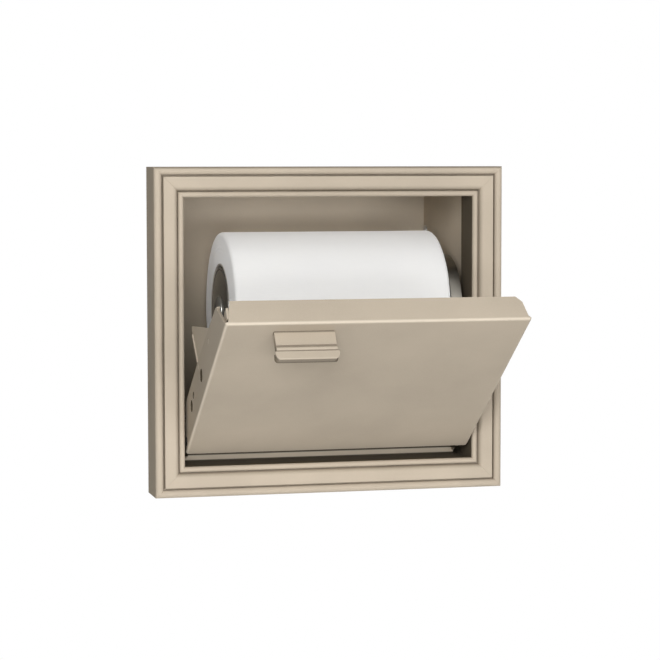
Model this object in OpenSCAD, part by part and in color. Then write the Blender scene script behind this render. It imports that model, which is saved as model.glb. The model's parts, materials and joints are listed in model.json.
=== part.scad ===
// Recessed toilet paper holder: a mitred frame on the wall, a sheet-metal recess
// behind it, a drop-down door and a roll on a plug-in spindle.
// Origin: centre of the frame on the wall plane. +X right, +Y into the wall, +Z up.

/* [Frame] */
// Outer width of the frame
frame_w = 182; // [150:0.5:240]
// Outer height of the frame
frame_h = 166.5; // [150:0.5:220]
// How far the frame stands out from the wall
frame_d = 24; // [22:0.5:32]
// Width of the moulding
border = 15.3; // [14.5:0.1:22]
// Radius of the bead along the outer edge
outer_bead_r = 2; // [1.5:0.1:2.2]
// Radius of the bead round the opening
inner_bead_r = 1.4; // [1:0.1:1.6]
// Outer wall of the moulding
frame_wall = 2.4; // [1.5:0.1:3]
// Wall of the moulding round the opening
return_wall = 1.6; // [1.2:0.1:2.2]
// Depth of the solid front of the moulding
frame_front_t = 7; // [6:0.1:9]
// Leg length of a corner key
key_leg = 30; // [20:1:40]
// Thickness of a corner key
key_t = 3; // [2:0.1:4]

/* [Recess] */
// Free depth behind the wall plane
recess_d = 76; // [72:0.5:100]
// How far the recess is wider than the opening, each side
recess_step = 2; // [1.5:0.1:4]
// Sheet thickness of the recess and the bracket
sheet_t = 1.2; // [0.8:0.1:1.6]
// Distance of the wall screw holes from the inside of the recess
wall_hole_out = 5.25; // [4:0.05:7]
// Height between the wall screw holes
wall_hole_dz = 80; // [50:1:90]
// Diameter of a wall screw hole
wall_hole_dia = 4.6; // [3.5:0.1:5]

/* [Door] */
// Gap between the door and the frame at the sides
door_gap = 1.3; // [1:0.1:2]
// Gap between the closed door and the frame below it
door_sill = 7.6; // [6:0.1:14]
// Sheet thickness of the door
door_t = 1.2; // [1:0.1:1.5]
// How far the closed door's face lies behind the front of the frame
door_inset = 1; // [0:0.1:3]
// Angle to which the door opens
open_angle = 55; // [30:1:60]
// Hinge axis, behind the door's face
hinge_back = 4.5; // [4.5:0.1:5.5]
// Hinge axis, above the door's lower edge
hinge_up = 5; // [4:0.1:7]
// Depth of the top flange
top_flange = 12.8; // [8:0.1:16]
// Depth of the side flanges
side_flange = 21.5; // [20:0.1:21.9]
// Diameter of a hinge pin
hinge_pin_dia = 3; // [2.5:0.1:3.2]

/* [Pull] */
// Width of the pull
pull_w = 30.7; // [20:0.1:50]
// How far the pull stands out from the door
pull_out = 15; // [13:0.1:22]
// Thickness of the pull
pull_t = 4.4; // [3.5:0.1:6]
// Centre of the pull, left of the door's centre
pull_left = 35.8; // [0:0.1:50]
// Top of the pull, below the door's upper edge
pull_down = 7; // [4:0.1:20]

/* [Roll and spindle] */
// Length of the roll
roll_len = 114; // [100:0.5:116]
// Outer diameter of the roll
roll_dia = 82.4; // [60:0.1:84]
// Inner diameter of the cardboard core
core_id = 47.6; // [38:0.1:50]
// Wall of the cardboard core
core_wall = 0.9; // [0.6:0.1:1.5]
// Axis of the roll, behind the wall plane
roll_y = 22; // [22:0.5:26]
// Axis of the roll, above the centre of the frame
roll_z = 8; // [0:0.5:12]
// Diameter of the spindle rod
rod_dia = 10; // [8:0.1:12]
// How far the rod reaches into the arm
socket_depth = 9.5; // [7:0.1:9.8]

/* [Arm] */
// Thickness of the arm
arm_t = 6; // [5:0.1:7]
// Radius of the arm's round nose
arm_nose_r = 28.5; // [22:0.5:30]
// Centre of the nose, in front of the roll's axis
arm_nose_ahead = 8; // [4:0.5:10]
// Thickness of the arm's foot
arm_foot_t = 4; // [3:0.1:6]
// How far the foot reaches under the roll
arm_foot_reach = 19; // [14:0.5:24]

/* [Hidden] */
$fn = 64;

// Clearances
running = 0.05;      // shaft in its bore, on the radius
fitted = 0.02;       // pressed or screwed shank in its hole, on the radius
seat_gap = 0.2;      // between pieces that are seated but not joined
side_play = 0.1;     // each side of a bush
loose = 0.3;         // between curved faces that move past each other

// Opening in the frame, and the recess behind it
open_w = frame_w - 2 * border;
open_h = frame_h - 2 * border;
recess_w = open_w + 2 * recess_step;
recess_h = open_h + 2 * recess_step;

// Moulding: u runs inward from the outer edge, d runs back from the front plane
groove_u = 2 * outer_bead_r + 0.3;             // middle of the outer groove
groove_half = 0.35;                            // half its width at the bottom
groove_d = 3.4;                                // depth of the outer groove
band_d = 0.6;                                  // depth of the flat band
band_start = groove_u + 0.6;
inner_bead_u = border - inner_bead_r;          // middle of the inner bead
inner_bead_d = 3.3;                            // depth of the inner bead's middle
inner_groove_u = inner_bead_u - inner_bead_r;  // groove before the inner bead
inner_groove_d = 4.4;                          // depth of that groove
round_r = 2.4;                                 // the band rounds over towards the opening
round_u = inner_groove_u - 0.5 - round_r;      // and starts to do so here
channel_w = border - frame_wall - return_wall; // free width in the back of the moulding
channel_u = frame_wall + channel_w / 2;        // middle of that channel
channel_floor = frame_front_t - frame_d;       // its bottom, in y

wall_hole_x = recess_w / 2 + wall_hole_out;

// Flange of the recess, which lies on the wall inside the moulding
flange_margin = 0.8;
flange_w = frame_w - 2 * (frame_wall + flange_margin);
flange_h = frame_h - 2 * (frame_wall + flange_margin);
seam_lip = 10;                                 // lip of the back, lapped over the sides
seam_relief = 1;                               // its ends stop this short of the corners
seam_rivet_z = recess_h / 2 - 22;

// Closed door
door_w = open_w - 2 * door_gap;
door_top = open_h / 2 - door_gap;
door_bottom = door_sill - open_h / 2;
door_h = door_top - door_bottom;
door_front = door_inset - frame_d;
hinge_y = door_front + hinge_back;
hinge_z = door_bottom + hinge_up;
flange_in = door_w / 2 - door_t;               // inner face of a side flange

// Hinge: bracket ear, bush flange, door flange, from the inside out
pin_r = hinge_pin_dia / 2;
bush_wall = 0.85;
bush_r = pin_r + running + bush_wall;
bush_flange_t = 0.8;
bush_flange_r = hinge_back - door_t - 0.5;
ear_out = flange_in - bush_flange_t - 2 * side_play;
ear_in = ear_out - sheet_t;
ear_nose_r = hinge_back - door_t - 0.4;
strip_y = 1;                                   // front of the bracket's strip
strip_top = hinge_z - 2.5;                     // its upper edge
floor_z = -recess_h / 2;
foot_d = 13;                                   // depth of the bracket's foot
foot_w = 120;
foot_screw_dx = 90;
foot_screw_y = strip_y + foot_d / 2 + 1;
foot_screw_r = 1.5;
foot_screw_tail = 2;                           // end of the screw below the floor
foot_head_r = 2.8;
foot_head_t = 1.6;

// Stop: a pin on each door flange runs in an arc slot in the ear
stop_pin_r = 1.4;
stop_path_r = 12.5;
stop_closed = 15;                              // angle of the pin when the door is shut
stop_open = stop_closed + open_angle;
stop_pin_past = 0.6;                           // end of the pin inside the ear
slot_wall = 2.2;
slot_r = stop_pin_r + loose;

// Catch on the left wall, and the blade that it holds
catch_back = 28.5;                             // middle of the magnet, behind the door's face
catch_down = 61;                               // and below the door's upper edge
catch_magnet_r = 3.5;
catch_size = 10;
catch_proud = 0.5;                             // magnet face to blade
catch_ear_t = 1.4;
catch_ear_len = 6;
catch_ear_half = 3.5;
catch_screw_r = 1.1;
catch_screw_tail = 1.5;                        // end of the screw outside the recess
catch_head_r = 2;
catch_head_t = 0.7;
catch_pocket = 1;                              // plastic behind the magnet
blade_t = 1.2;
blade_lip = 0.6;                               // how far its lower edge is folded out
blade_tip_r = 1.5;

// Roll and roller
arm_right = flange_in - 0.6;                   // clear of the door's side flange
arm_left = arm_right - arm_t;
roll_right = arm_left - 1.4;                   // right end of the roll
roll_left = roll_right - roll_len;
core_r = core_id / 2;
roller_r = core_r - loose;
roller_wall = 1.1;
roller_end_gap = 1.4;                          // roller is this much short of the roll's right end
roller_right = roll_right - roller_end_gap;
bush_len = 8;
cap_rim_r = roller_r - 0.7;
cap_rim_x = roll_left + 1.8;                   // rim of the dome, just inside the roll's end
cap_rise = 5;
cap_shell = 1.2;
cap_skirt = 5;
cap_sphere_r = (cap_rim_r * cap_rim_r + cap_rise * cap_rise) / (2 * cap_rise);
roller_left = cap_rim_x + 1;
left_bush_x = roller_left + 6;
rod_r = rod_dia / 2;
collar_r = 8;
washer_r = 8;
washer_t = 1;
screw_head_r = 4;
screw_head_t = 2.2;
screw_shank_r = 2;
screw_shank_len = 10;

// Arm
arm_nose_y = roll_y - arm_nose_ahead;
boss_r = 8;
boss_len = recess_w / 2 - arm_right - 0.5;
socket_end = arm_left + socket_depth;
magnet_t = 1;
arm_foot_half_h = arm_nose_r - 4.5;
arm_screw_z = 16;
arm_screw_r = 1.9;
arm_screw_tail = 2;                            // end of the screw behind the recess
arm_head_r = 3.6;
arm_head_t = 2.2;

// Shallow holes in the door's side flanges: [behind the face, below the top edge, diameter]
flange_holes = [[11.6, 67.2, 6.5], [14.1, 91.2, 3.6], [12.2, 98.9, 6]];

paint = "#cbbda8";
nickel = "#9c958a";
dark_nickel = "#5b5853";
zinc = "#b9bcc0";
black_plastic = "#2b2b2b";

// ---------------------------------------------------------------- helpers

// Points on an arc
function arc(c, r, a0, a1, n = 10) =
    [for (i = [0:n]) c + r * [cos(a0 + (a1 - a0) * i / n), sin(a0 + (a1 - a0) * i / n)]];

// Extrudes a [y, z] outline along X between two x values
module along_x(x0, x1) {
    translate([min(x0, x1), 0, 0])
        rotate([90, 0, 90])
            linear_extrude(abs(x1 - x0))
                children();
}

// Round bar along X
module bar_x(x0, x1, r, y = 0, z = 0) {
    translate([min(x0, x1), y, z])
        rotate([0, 90, 0])
            cylinder(h = abs(x1 - x0), r = r);
}

// Round bar along Y
module bar_y(y0, y1, r, x = 0, z = 0) {
    translate([x, min(y0, y1), z])
        rotate([-90, 0, 0])
            cylinder(h = abs(y1 - y0), r = r);
}

// Box given by its two corners
module block(a, b) {
    translate(a)
        cube(b - a);
}

// Turns the pieces of the closed door to where the open door holds them
module opened() {
    translate([0, hinge_y, hinge_z])
        rotate([open_angle, 0, 0])
            translate([0, -hinge_y, -hinge_z])
                children();
}

// A point on the closed door: a is behind its face, b is below its upper edge
function on_door(a, b) = [door_front + a, door_top - b];

// ---------------------------------------------------------------- frame

// Points on an arc of the moulding's section
function bead(u, d, r, a0, a1) = [for (p = arc([u, d], r, a0, a1)) [p[0], p[1] - frame_d]];

// Section of the moulding as [u, y] points, open at the back
section = concat(
    [[0, 0]],
    bead(outer_bead_r, outer_bead_r, outer_bead_r, 180, 345),
    [[groove_u - groove_half, groove_d - frame_d], [groove_u + groove_half, groove_d - frame_d],
     [band_start, band_d - frame_d]],
    bead(round_u, band_d + round_r, round_r, 270, 360),
    [[inner_groove_u, inner_groove_d - frame_d]],
    bead(inner_bead_u, inner_bead_d, inner_bead_r, 180, 360),
    [[border, -sheet_t - seat_gap],
     [border - return_wall, -sheet_t - seat_gap],
     [border - return_wall, channel_floor],
     [frame_wall, channel_floor],
     [frame_wall, 0]]);

// One length of moulding along the lower edge, mitred at both ends
module rail(len, span) {
    intersection() {
        translate([0, 0, -span / 2])
            along_x(-len / 2, len / 2)
                polygon([for (p = section) [p[1], p[0]]]);
        translate([0, 1, 0])
            rotate([90, 0, 0])
                linear_extrude(frame_d + 2)
                    polygon([[-len / 2, -span / 2], [len / 2, -span / 2],
                             [len / 2 - border - 1, -span / 2 + border + 1],
                             [-len / 2 + border + 1, -span / 2 + border + 1]]);
    }
}

// Positions of the two screws of each corner key, in the lower left corner
key_screw_at = [[-frame_w / 2 + channel_u, -frame_h / 2 + channel_u + key_leg * 0.6],
                [-frame_w / 2 + channel_u + key_leg * 0.6, -frame_h / 2 + channel_u]];
key_screw_r = 1.25;
key_screw_bite = 2;
key_head_r = 2.3;
key_head_t = 1.3;

module in_corners() {
    for (mx = [0, 1])
        for (mz = [0, 1])
            mirror([mx, 0, 0])
                mirror([0, 0, mz])
                    children();
}

module key_screw_shanks(clearance) {
    in_corners()
        for (p = key_screw_at)
            bar_y(channel_floor - key_screw_bite, channel_floor + key_t,
                  key_screw_r + clearance, p[0], p[1]);
}

module rail_bottom() {
    color(paint)
        difference() {
            rail(frame_w, frame_h);
            key_screw_shanks(fitted);
        }
}

module rail_top() {
    color(paint)
        difference() {
            mirror([0, 0, 1])
                rail(frame_w, frame_h);
            key_screw_shanks(fitted);
        }
}

module rail_left() {
    color(paint)
        difference() {
            rotate([0, 90, 0])
                rail(frame_h, frame_w);
            key_screw_shanks(fitted);
        }
}

module rail_right() {
    color(paint)
        difference() {
            rotate([0, -90, 0])
                rail(frame_h, frame_w);
            key_screw_shanks(fitted);
        }
}

module corner_keys() {
    key_w = channel_w - 2 * seat_gap;
    x0 = -frame_w / 2 + frame_wall + seat_gap;
    z0 = -frame_h / 2 + frame_wall + seat_gap;
    color(zinc)
        difference() {
            in_corners()
                union() {
                    block([x0, channel_floor, z0], [x0 + key_leg, channel_floor + key_t, z0 + key_w]);
                    block([x0, channel_floor, z0], [x0 + key_w, channel_floor + key_t, z0 + key_leg]);
                }
            key_screw_shanks(fitted);
        }
}

module key_screws() {
    color(zinc) {
        key_screw_shanks(0);
        in_corners()
            for (p = key_screw_at)
                bar_y(channel_floor + key_t, channel_floor + key_t + key_head_t, key_head_r, p[0], p[1]);
    }
}

// ---------------------------------------------------------------- recess

clip_x = frame_w / 4;
clip_z = frame_h / 2 - channel_u;
clip_rivet_r = 1.5;
clip_head_r = 2.7;
clip_head_t = 1;
seam_rivet_r = 1.6;
seam_head_r = 2.4;                             // inside the recess
seam_tail_r = 3;                               // outside it
seam_head_t = 1;
seam_y = recess_d - seam_lip / 2;

module at_clips() {
    for (sx = [-1, 1])
        for (mz = [0, 1])
            mirror([0, 0, mz])
                translate([sx * clip_x, 0, clip_z])
                    children();
}

module clip_rivet_holes() {
    at_clips()
        bar_y(-10, 10, clip_rivet_r + fitted);
}

module seam_rivet_holes() {
    for (z = [-seam_rivet_z, seam_rivet_z])
        bar_x(-recess_w, recess_w, seam_rivet_r + fitted, seam_y, z);
}

module wall_holes() {
    for (sx = [-1, 1])
        for (sz = [-1, 1])
            bar_y(-10, 10, wall_hole_dia / 2, sx * wall_hole_x, sz * wall_hole_dz / 2);
}

module recess_wrap() {
    w = recess_w / 2;
    h = recess_h / 2;
    color(paint)
        difference() {
            union() {
                for (mx = [0, 1])
                    mirror([mx, 0, 0]) {
                        block([w, -sheet_t, -h - sheet_t], [w + sheet_t, recess_d, h]);
                        block([w, -sheet_t, -flange_h / 2], [flange_w / 2, 0, h]);
                    }
                block([-w, -sheet_t, -h - sheet_t], [w, recess_d, -h]);
                block([-w - 1, -sheet_t, -flange_h / 2], [w + 1, 0, -h]);
            }
            clip_rivet_holes();
            wall_holes();
            seam_rivet_holes();
            bracket_screw_shanks(fitted);
            catch_screw_shanks(fitted);
        }
}

module recess_back() {
    w = recess_w / 2 + sheet_t;
    h = recess_h / 2;
    color(paint)
        difference() {
            union() {
                block([-w, -sheet_t, h], [w, recess_d + sheet_t, h + sheet_t]);
                block([-w, recess_d, -h - sheet_t], [w, recess_d + sheet_t, h + sheet_t]);
                block([-flange_w / 2, -sheet_t, h + seat_gap], [flange_w / 2, 0, flange_h / 2]);
                for (mx = [0, 1])
                    mirror([mx, 0, 0])
                        block([w, recess_d - seam_lip, seam_relief - h],
                              [w + sheet_t, recess_d + sheet_t, h - seam_relief]);
            }
            clip_rivet_holes();
            seam_rivet_holes();
            arm_screw_shanks(fitted);
        }
}

module seam_rivets() {
    w = recess_w / 2;
    out = w + 2 * sheet_t;
    color(zinc)
        for (mx = [0, 1])
            mirror([mx, 0, 0])
                for (z = [-seam_rivet_z, seam_rivet_z]) {
                    bar_x(w - seam_head_t, w, seam_head_r, seam_y, z);
                    bar_x(w - seam_head_t, out + seam_head_t, seam_rivet_r, seam_y, z);
                    bar_x(out, out + seam_head_t, seam_tail_r, seam_y, z);
                }
}

// Spring clip that holds the moulding by the walls of its channel
clip_t = 0.8;
clip_leg = 9;
clip_len = 12;

module frame_clips() {
    color(zinc)
        difference() {
            at_clips() {
                half = channel_w / 2 - running;
                block([-clip_len / 2, -sheet_t - clip_t, -half], [clip_len / 2, -sheet_t, half]);
                for (mz = [0, 1])
                    mirror([0, 0, mz])
                        block([-clip_len / 2, -sheet_t - clip_leg, half - clip_t],
                              [clip_len / 2, -sheet_t, half]);
            }
            clip_rivet_holes();
        }
}

module clip_rivets() {
    color(zinc)
        at_clips() {
            bar_y(-sheet_t - clip_t - clip_head_t, 0, clip_rivet_r);
            bar_y(-sheet_t - clip_t - clip_head_t, -sheet_t - clip_t, clip_head_r);
        }
}

// ---------------------------------------------------------------- hinge

function stop_point(angle) =
    [hinge_y + stop_path_r * cos(angle), hinge_z + stop_path_r * sin(angle)];

// Point where a line from p touches the circle of radius r round c, on the side given by +1 or -1
function touching(c, r, p, side) =
    let (to = p - c, turn = atan2(to[1], to[0]) + side * acos(r / norm(to)))
    c + r * [cos(turn), sin(turn)];

// Outline of a bracket ear: nose round the pin, hump round the slot, root on the strip
module ear_outline() {
    nose = [hinge_y, hinge_z];
    root_top = [strip_y + sheet_t, strip_top + 1];
    root_low = [strip_y + sheet_t, -open_h / 2 + 1];
    translate(nose)
        circle(r = ear_nose_r);
    polygon([nose, touching(nose, ear_nose_r, root_top, 1), root_top, root_low,
             touching(nose, ear_nose_r, root_low, -1)]);
    difference() {
        translate([hinge_y, hinge_z])
            circle(r = stop_path_r + slot_r + slot_wall);
        below = [for (a = [stop_closed - 30, stop_open + 14]) [cos(a), sin(a)]];
        translate([hinge_y, hinge_z])
            polygon([[0, 0], 60 * below[1], [-60, 60], [-60, -60], [60, -60], 60 * below[0]]);
    }
}

// Arc slot, round at both ends
module stop_slot() {
    difference() {
        translate([hinge_y, hinge_z])
            circle(r = stop_path_r + slot_r);
        translate([hinge_y, hinge_z])
            circle(r = stop_path_r - slot_r);
        translate([hinge_y, hinge_z])
            polygon([[0, 0], 60 * [cos(stop_open), sin(stop_open)], [-60, 60], [-60, -60], [60, -60],
                     60 * [cos(stop_closed), sin(stop_closed)]]);
    }
    for (a = [stop_closed, stop_open])
        translate(stop_point(a))
            circle(r = slot_r);
}

module bracket_screw_shanks(clearance) {
    for (sx = [-1, 1])
        translate([sx * foot_screw_dx / 2, foot_screw_y, floor_z - sheet_t - foot_screw_tail])
            cylinder(h = 2 * sheet_t + foot_screw_tail, r = foot_screw_r + clearance);
}

module hinge_bracket() {
    color(paint)
        difference() {
            union() {
                block([-ear_out, strip_y, floor_z + seat_gap], [ear_out, strip_y + sheet_t, strip_top]);
                block([-foot_w / 2, strip_y, floor_z], [foot_w / 2, strip_y + foot_d, floor_z + sheet_t]);
                for (mx = [0, 1])
                    mirror([mx, 0, 0])
                        along_x(ear_in, ear_out)
                            difference() {
                                ear_outline();
                                stop_slot();
                            }
            }
            bracket_screw_shanks(fitted);
            bar_x(-ear_out - 1, ear_out + 1, pin_r + fitted, hinge_y, hinge_z);
        }
}

module bracket_screws() {
    color(zinc) {
        bracket_screw_shanks(0);
        for (sx = [-1, 1])
            translate([sx * foot_screw_dx / 2, foot_screw_y, floor_z + sheet_t])
                cylinder(h = foot_head_t, r = foot_head_r);
    }
}

module hinge_pin() {
    head = 0.9;
    color(zinc) {
        bar_x(ear_in - head, flange_in + door_t, pin_r, hinge_y, hinge_z);
        bar_x(ear_in - head, ear_in, pin_r + head, hinge_y, hinge_z);
    }
}

module hinge_pin_right() {
    hinge_pin();
}

module hinge_pin_left() {
    mirror([1, 0, 0])
        hinge_pin();
}

// ---------------------------------------------------------------- catch

catch_at = on_door(catch_back, catch_down);
catch_face = -flange_in - catch_proud;
catch_screw_dz = catch_size + catch_ear_len;
catch_wall = -recess_w / 2;

module catch_screw_shanks(clearance) {
    for (sz = [-1, 1])
        bar_x(catch_wall - sheet_t - catch_screw_tail, catch_wall + catch_ear_t, catch_screw_r + clearance,
              catch_at[0], catch_at[1] + sz * catch_screw_dz / 2);
}

module catch_body() {
    half = catch_size / 2;
    ear_half = half + catch_ear_len;
    color(black_plastic)
        difference() {
            union() {
                block([catch_wall, catch_at[0] - half, catch_at[1] - half],
                      [catch_face, catch_at[0] + half, catch_at[1] + half]);
                block([catch_wall, catch_at[0] - catch_ear_half, catch_at[1] - ear_half],
                      [catch_wall + catch_ear_t, catch_at[0] + catch_ear_half, catch_at[1] + ear_half]);
            }
            bar_x(catch_wall + catch_pocket, 0, catch_magnet_r + fitted, catch_at[0], catch_at[1]);
            catch_screw_shanks(fitted);
        }
}

module catch_magnet() {
    color(zinc)
        bar_x(catch_wall + catch_pocket, catch_face, catch_magnet_r, catch_at[0], catch_at[1]);
}

module catch_screws() {
    color(zinc) {
        catch_screw_shanks(0);
        for (sz = [-1, 1])
            bar_x(catch_wall + catch_ear_t, catch_wall + catch_ear_t + catch_head_t, catch_head_r,
                  catch_at[0], catch_at[1] + sz * catch_screw_dz / 2);
    }
}

// ---------------------------------------------------------------- arm

module arm_screw_shanks(clearance) {
    for (sz = [-1, 1])
        bar_y(recess_d - arm_foot_t, recess_d + sheet_t + arm_screw_tail, arm_screw_r + clearance,
              arm_left - arm_foot_reach / 2, roll_z + sz * arm_screw_z);
}

module roll_arm() {
    color(nickel)
        difference() {
            union() {
                along_x(arm_left, arm_right)
                    union() {
                        translate([arm_nose_y, roll_z])
                            circle(r = arm_nose_r);
                        translate([arm_nose_y, roll_z - arm_nose_r])
                            square([recess_d - arm_nose_y, 2 * arm_nose_r]);
                    }
                block([arm_left - arm_foot_reach, recess_d - arm_foot_t, roll_z - arm_foot_half_h],
                      [arm_left + 1, recess_d, roll_z + arm_foot_half_h]);
                bar_x(arm_right - 1, arm_right + boss_len, boss_r, roll_y, roll_z);
            }
            bar_x(arm_left - 1, socket_end, rod_r + running, roll_y, roll_z);
            arm_screw_shanks(fitted);
        }
}

module arm_screws() {
    color(zinc) {
        arm_screw_shanks(0);
        for (sz = [-1, 1])
            bar_y(recess_d - arm_foot_t - arm_head_t, recess_d - arm_foot_t, arm_head_r,
                  arm_left - arm_foot_reach / 2, roll_z + sz * arm_screw_z);
    }
}

// Disc at the bottom of the socket that holds the rod
module socket_magnet() {
    color(zinc)
        bar_x(socket_end - magnet_t, socket_end, rod_r, roll_y, roll_z);
}

// ---------------------------------------------------------------- door

pull_rivet_dx = 20;
pull_rivet_r = 1.5;
pull_rivet_bite = 5;                           // how far it reaches into the pull
pull_head_r = 2.6;
pull_head_t = 0.9;
pull_mid = door_top - pull_down - pull_t / 2;
blade_rivet_at = [[16, 42], [18.8, 71.5]];
blade_rivet_r = 1.3;
blade_head_r = 2.2;
blade_head_t = 0.8;

module pull_rivet_shanks(clearance) {
    for (sx = [-1, 1])
        bar_y(door_front - pull_rivet_bite, door_front + door_t, pull_rivet_r + clearance,
              -pull_left + sx * pull_rivet_dx / 2, pull_mid);
}

module blade_rivet_shanks(clearance) {
    for (p = blade_rivet_at)
        bar_x(-door_w / 2, -flange_in + blade_t, blade_rivet_r + clearance,
              on_door(p[0], p[1])[0], on_door(p[0], p[1])[1]);
}

// Outline of a side flange, in [behind the face, below the upper edge]
flange_shape = [[0, 0], [1, 1], [side_flange - 5, 10.3], [side_flange - 2.2, 17], [side_flange - 1.2, 36],
                [side_flange, 61], [side_flange, door_h - 12], [side_flange - 2.5, door_h - 4],
                [side_flange - 7, door_h], [0, door_h]];

module door_panel() {
    w = door_w / 2;
    relief = 3.4;
    corner = 3;
    color(paint)
        opened()
            difference() {
                union() {
                    block([-w, door_front, door_bottom], [w, door_front + door_t, door_top]);
                    for (mx = [0, 1])
                        mirror([mx, 0, 0])
                            along_x(flange_in, w)
                                polygon([for (p = flange_shape) on_door(p[0], p[1])]);
                    translate([0, door_front, door_top - door_t])
                        linear_extrude(door_t)
                            polygon([[-w, 0], [w, 0], [w - relief, top_flange - corner],
                                     [w - relief - corner, top_flange], [relief - w, top_flange]]);
                }
                for (hole = flange_holes)
                    bar_x(-door_w, door_w, hole[2] / 2,
                          on_door(hole[0], hole[1])[0], on_door(hole[0], hole[1])[1]);
                bar_x(-door_w, door_w, bush_r + fitted, hinge_y, hinge_z);
                bar_x(-door_w, door_w, stop_pin_r + fitted,
                      stop_point(stop_closed)[0], stop_point(stop_closed)[1]);
                pull_rivet_shanks(fitted);
                blade_rivet_shanks(fitted);
            }
}

// Section of the pull as [out from the door, down from its top]: a bead between two grooves, then a lip
pull_lip = 4.2;
pull_bead = pull_out - pull_lip - 1.5;
pull_bead_r = 0.9;
pull_groove = 0.7;
pull_edge_r = 0.8;
pull_corner_r = 2.5;
pull_step = 0.8;
pull_section = concat(
    [[0, 0], [pull_bead - 2.1, 0], [pull_bead - 1.9, pull_groove], [pull_bead - pull_bead_r, pull_groove]],
    [for (p = arc([pull_bead, -pull_groove / 2], pull_bead_r, 180, 0)) [p[0], -p[1]]],
    [[pull_bead + 1.2, pull_groove], [pull_bead + 1.5, 0]],
    [for (p = arc([pull_out - pull_edge_r, -pull_edge_r], pull_edge_r, 90, 0)) [p[0], -p[1]]],
    [[pull_out, pull_t], [pull_out - 2, pull_t], [pull_out - 3.5, pull_t - 1.2], [0, pull_t - 1.2]]);

// The pull seen from above: a body and a wider lip with round corners
module pull_plan() {
    lip = [pull_w, pull_lip];
    body_half = pull_w / 2 - pull_step;
    translate([-body_half, 0])
        square([2 * body_half, pull_out - pull_lip + 0.5]);
    translate([-lip[0] / 2, pull_out - lip[1]])
        square([lip[0], lip[1] - pull_corner_r]);
    translate([pull_corner_r - lip[0] / 2, pull_out - lip[1]])
        square([lip[0] - 2 * pull_corner_r, lip[1]]);
    for (sx = [-1, 1])
        translate([sx * (lip[0] / 2 - pull_corner_r), pull_out - pull_corner_r])
            circle(r = pull_corner_r);
}

module door_pull() {
    color(paint)
        opened()
            difference() {
                intersection() {
                    along_x(-pull_left - pull_w / 2 - 1, -pull_left + pull_w / 2 + 1)
                        polygon([for (p = pull_section) [door_front - p[0], door_top - pull_down - p[1]]]);
                    translate([-pull_left, door_front, door_top - pull_down - pull_t - 1])
                        mirror([0, 1, 0])
                            linear_extrude(pull_t + 3)
                                pull_plan();
                }
                pull_rivet_shanks(fitted);
            }
}

module pull_rivets() {
    color(zinc)
        opened() {
            pull_rivet_shanks(0);
            for (sx = [-1, 1])
                bar_y(door_front + door_t, door_front + door_t + pull_head_t, pull_head_r,
                      -pull_left + sx * pull_rivet_dx / 2, pull_mid);
        }
}

// Fin behind the left flange, as [behind the face, below the upper edge]
blade_tip = [46.7, 81];
blade_outline = concat([[12, 34], [20, 36.7]],
                       [for (p = arc(blade_tip - [blade_tip_r, blade_tip_r], blade_tip_r, -30, 80, 6)) p],
                       [[16.5, 75], [16.5, 62], [12, 50]]);
blade_fold = [[24, 75.3], [24, 76.4], [42, 80], [42, 78.9]];

// The fin's lower edge is folded outward, which stiffens it
module catch_blade() {
    color(paint)
        opened()
            difference() {
                union() {
                    along_x(-flange_in, -flange_in + blade_t)
                        polygon([for (p = blade_outline) on_door(p[0], p[1])]);
                    along_x(-flange_in - blade_lip, -flange_in + blade_t)
                        polygon([for (p = blade_fold) on_door(p[0], p[1])]);
                }
                blade_rivet_shanks(fitted);
            }
}

module blade_rivets() {
    color(zinc)
        opened() {
            blade_rivet_shanks(0);
            for (p = blade_rivet_at)
                bar_x(-flange_in + blade_t, -flange_in + blade_t + blade_head_t, blade_head_r,
                      on_door(p[0], p[1])[0], on_door(p[0], p[1])[1]);
        }
}

module hinge_bushes() {
    color(black_plastic)
        difference() {
            for (mx = [0, 1])
                mirror([mx, 0, 0]) {
                    bar_x(ear_out + side_play, flange_in, bush_flange_r, hinge_y, hinge_z);
                    bar_x(flange_in - 0.1, flange_in + door_t, bush_r, hinge_y, hinge_z);
                }
            bar_x(-door_w, door_w, pin_r + running, hinge_y, hinge_z);
        }
}

module stop_pins() {
    color(zinc)
        opened()
            for (mx = [0, 1])
                mirror([mx, 0, 0])
                    bar_x(ear_in - stop_pin_past, flange_in + door_t, stop_pin_r,
                          stop_point(stop_closed)[0], stop_point(stop_closed)[1]);
}

// ---------------------------------------------------------------- spindle

rod_left = left_bush_x - seat_gap;
rod_right = socket_end - magnet_t - side_play;

module spindle_rod() {
    color(nickel)
        difference() {
            union() {
                bar_x(rod_left, rod_right, rod_r, roll_y, roll_z);
                bar_x(roller_right + seat_gap, arm_left - seat_gap, collar_r, roll_y, roll_z);
            }
            bar_x(rod_left - 1, rod_left + screw_shank_len, screw_shank_r + fitted, roll_y, roll_z);
        }
}

module retaining_washer() {
    color(zinc)
        difference() {
            bar_x(rod_left - washer_t, rod_left, washer_r, roll_y, roll_z);
            bar_x(rod_left - washer_t - 1, rod_left + 1, screw_shank_r + 0.1, roll_y, roll_z);
        }
}

module retaining_screw() {
    head_x = rod_left - washer_t;
    color(zinc) {
        bar_x(head_x - screw_head_t, head_x, screw_head_r, roll_y, roll_z);
        bar_x(head_x - 1, rod_left + screw_shank_len - 0.5, screw_shank_r, roll_y, roll_z);
    }
}

// ---------------------------------------------------------------- roller

// Ring along X between two radii
module ring_x(x0, x1, r_in, r_out) {
    difference() {
        bar_x(x0, x1, r_out, roll_y, roll_z);
        bar_x(x0 - 1, x1 + 1, r_in, roll_y, roll_z);
    }
}

module roller_sleeve() {
    color(dark_nickel)
        ring_x(roller_left, roller_right, roller_r - roller_wall, roller_r);
}

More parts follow.
